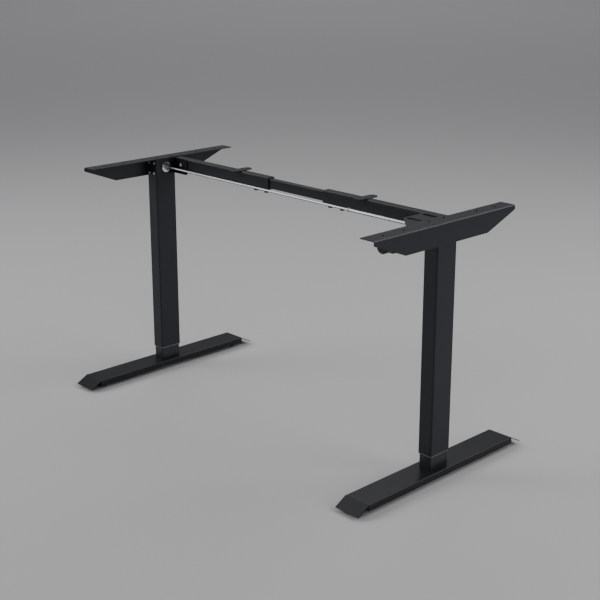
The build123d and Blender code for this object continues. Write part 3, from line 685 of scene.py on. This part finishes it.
def stud_thread(name):
    """Zinc stud with a fine thread above the hexagon."""
    rod = Finish(name, Metallic=1.0, Roughness=0.3)
    x, y, z = rod.axes()
    angle = x.sum("ARCTAN2", abs(y) - abs(glide_middle.y), abs(x) - glide_middle.x) / (2 * math.pi)
    crest = x.sum("PINGPONG", angle + z / thread_pitch, 0.5) * 2
    above = rod.ramp(z, stud_start + 0.0004, stud_start + 0.0008)
    haze = rod.noise(220, 3)
    rod.feed(
        # Above the hexagon the thread's roots are darker than its crests: painted shade.
        Base_Color=rod.tint(haze * 0.5 + crest * above * 0.5, (0.34, 0.34, 0.35), (0.72, 0.72, 0.73)),
        Normal=rod.bump(crest * above, 0.0003),
    )
    return rod.material


close(stud, [stud_thread("zinc_stud_thread")], "right_front_glide", 0.0003)

# %% Copy the glides to the other three corners
for label, side in (("right", 1), ("left", -1)):
    for end, way in (("front", -1), ("rear", 1)):
        if (label, end) != ("right", "front"):
            shift = (glide_middle.x * (side - 1), abs(glide_middle.y) * (way + 1), 0)
            corner = f"{label}_{end}_glide"
            dress(copy_to(pad, f"{corner}_pad", shift), corner, [corner])
            dress(copy_to(stud, f"{corner}_stud", shift), corner)

# %% [markdown]
# ## Weld beads
# The support tabs, the bracket cheeks and the bolt bosses are welded on before painting.
# A weld is a row of frozen puddles, each a little over the last, so one flattened ball is
# made and an Array repeats it along the seam. Powder coat covers it with everything else.


# %% Straight weld
def weld(name, first, last, width, rides_on):
    """A row of overlapping puddles from one point to another."""
    run = Vector(last) - Vector(first)
    count = max(2, round(run.length / (width * 0.36)))
    bead = begin(
        name, bpy.ops.mesh.primitive_uv_sphere_add,
        segments=10, ring_count=6, radius=width / 2, location=first,
    )
    squeeze = [1 - 0.35 * abs(part) for part in run.normalized()]
    bpy.ops.transform.resize(value=squeeze, center_override=first)
    bpy.ops.object.mode_set(mode="OBJECT")
    row = bead.modifiers.new("row", "ARRAY")
    row.use_relative_offset = False
    row.use_constant_offset = True
    row.constant_offset_displace = run / (count - 1)
    row.count = count
    bpy.ops.object.modifier_apply(modifier=row.name)
    bpy.ops.object.mode_set(mode="EDIT")
    close(bead, [frame_coat], rides_on)


tab_bead, cheek_bead, bead_lift = 0.0034, 0.0040, 0.0002
for label, side in (("right", 1), ("left", -1)):
    tab_low, tab_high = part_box(f"{label}_support_tab")
    sleeve_low, sleeve_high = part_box(f"{label}_rail_sleeve")
    for edge, x in (("inner", tab_low.x), ("outer", tab_high.x)):
        weld(
            f"{label}_tab_weld_{edge}", (x, sleeve_low.y + 0.004, sleeve_high.z + bead_lift),
            (x, sleeve_high.y - 0.004, sleeve_high.z + bead_lift), tab_bead, f"{label}_head",
        )
    tube_low, tube_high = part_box(f"{label}_outer_tube")
    bracket_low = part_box(f"{label}_side_bracket")[0]
    cheek = side * (max(abs(tube_low.x), abs(tube_high.x)) - 0.0012)
    for end, y in (("front", tube_low.y), ("rear", tube_high.y)):
        weld(
            f"{label}_cheek_weld_{end}", (cheek, y, bracket_low.z + 0.003),
            (cheek, y, tube_high.z - 0.004), cheek_bead, f"{label}_head",
        )

# %% [markdown]
# The bosses are round, so their bead goes round as well: the same flattened ball, turned
# about the boss's centre by the spin operator, with a copy left at each step.

# %% Round welds at the lock bolt bosses
boss_radius, boss_height, boss_steps = 0.0080, 0.0065, 26
for label, side in (("right", 1), ("left", -1)):
    bolts_low, bolts_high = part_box(f"{label}_rail_lock_bolts")
    sleeve_low, sleeve_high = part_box(f"{label}_rail_sleeve")
    boss_low = sleeve_low.z + boss_height
    middle_y = (bolts_low.y + bolts_high.y) / 2
    half_head = (bolts_high.y - bolts_low.y) / 2
    for number, x in enumerate((bolts_low.x + half_head, bolts_high.x - half_head)):
        ring = begin(
            f"{label}_boss_weld_{number + 1}", bpy.ops.mesh.primitive_uv_sphere_add,
            segments=10, ring_count=6, radius=0.0017, location=(x + boss_radius, middle_y, boss_low),
        )
        bpy.ops.transform.resize(value=(1, 0.7, 0.9), center_override=(x + boss_radius, middle_y, boss_low))
        bpy.ops.mesh.spin(
            dupli=True, steps=boss_steps, angle=2 * math.pi, center=(x, middle_y, boss_low), axis=(0, 0, 1),
        )
        bpy.ops.mesh.select_all(action="SELECT")
        bpy.ops.mesh.remove_doubles(threshold=0.00001)
        close(ring, [frame_coat], f"{label}_head")

# %% [markdown]
# ## Motor details
# The motor is a drawn steel can with a moulded cap. Two crimped bands hold the can to the
# gear case and the cap, two tie bolts run through the cap's rim, and the lead plugs into a
# small header in the cap's end. The bands start as rings, the bolts as discs whose faces are
# inset and pushed in for the cross, and the header as a block that is hollowed by an inset.

# %% Crimped bands
def on_crimp(place, normal):
    """Every third stretch of the band's outer side."""
    across, up = place.x - motor_x, place.z - shaft_z
    stretch = math.floor(math.degrees(math.atan2(up, across)) / crimp_turn)
    return math.hypot(across, up) > can_radius + 0.0003 and stretch % 3 == 0


can_low, can_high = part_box("motor_housing")
cap_low, cap_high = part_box("motor_end_cap")
motor_x = (can_low.x + can_high.x) / 2
can_radius = (can_high.x - can_low.x) / 2
gear_case_end = can_high.y - 0.0225
crimp_turn = 5
for name, y in (("gear_case_band", gear_case_end), ("cap_band", can_low.y + 0.0030)):
    band = begin(
        name, bpy.ops.mesh.primitive_torus_add, location=(motor_x, y, shaft_z),
        rotation=(math.pi / 2, 0, 0), major_radius=can_radius, minor_radius=0.0006,
        major_segments=72, minor_segments=8,
    )
    bpy.ops.transform.resize(value=(1, 2.6, 1), center_override=(motor_x, y, shaft_z))
    choose(band, on_crimp)
    bpy.ops.mesh.inset(thickness=0.0002, depth=-0.0003, use_individual=True)
    close(band, [motor_coat], "right_head")


# %% Tie bolts
bolt_circle, bolt_depth, cap_rim = 0.0194, 0.0016, 0.0030
for name, side in (("tie_bolt_inner", -1), ("tie_bolt_outer", 1)):
    centre = (motor_x + side * bolt_circle, cap_high.y - cap_rim - bolt_depth / 2, shaft_z)
    bolt = begin(
        name, bpy.ops.mesh.primitive_cylinder_add, vertices=24, radius=0.0021, depth=bolt_depth,
        location=centre, rotation=(math.pi / 2, 0, 0),
    )
    turned = bolt.matrix_world.to_3x3()
    choose(bolt, lambda place, normal: (turned @ normal).y < -0.9)
    bpy.ops.mesh.inset(thickness=0.0005, depth=0.0003)
    bpy.ops.mesh.inset(thickness=0.0008, depth=0)
    bpy.ops.mesh.inset(thickness=0.0001, depth=-0.0007)
    close(bolt, [zinc_screw], "right_head", 0.0001)

# %% Header and pins
header_y = cap_low.y + 0.0020
pin_pitch, pin_size, pin_length = 0.0036, 0.0008, 0.0030
header = begin(
    "motor_header", bpy.ops.mesh.primitive_cube_add, size=1,
    location=(motor_x, header_y, shaft_z), scale=(0.0134, 0.0036, 0.0084),
)
choose(header, lambda place, normal: normal.y < -0.9)
bpy.ops.mesh.inset(thickness=0.0007, depth=0)
extrude((0, 0.0026, 0))
choose(header, lambda place, normal: normal.z > 0.9 and place.z > shaft_z + 0.004)
bpy.ops.mesh.inset(thickness=0.0012, depth=0)
close(header, [black_plastic], "right_head", 0.00015)
for number in range(6):
    column, row = number % 3, number // 3
    pin = begin(
        f"header_pin_{number + 1}", bpy.ops.mesh.primitive_cube_add, size=1,
        location=(motor_x + (column - 1) * pin_pitch, header_y + 0.0002, shaft_z + (row - 0.5) * pin_pitch),
        scale=(pin_size, pin_length, pin_size),
    )
    choose(pin, lambda place, normal: normal.y < -0.9)
    extrude((0, -0.0003, 0), (0.5, 1, 0.5), tuple(pin.location))
    close(pin, [bronze_nut], "right_head")
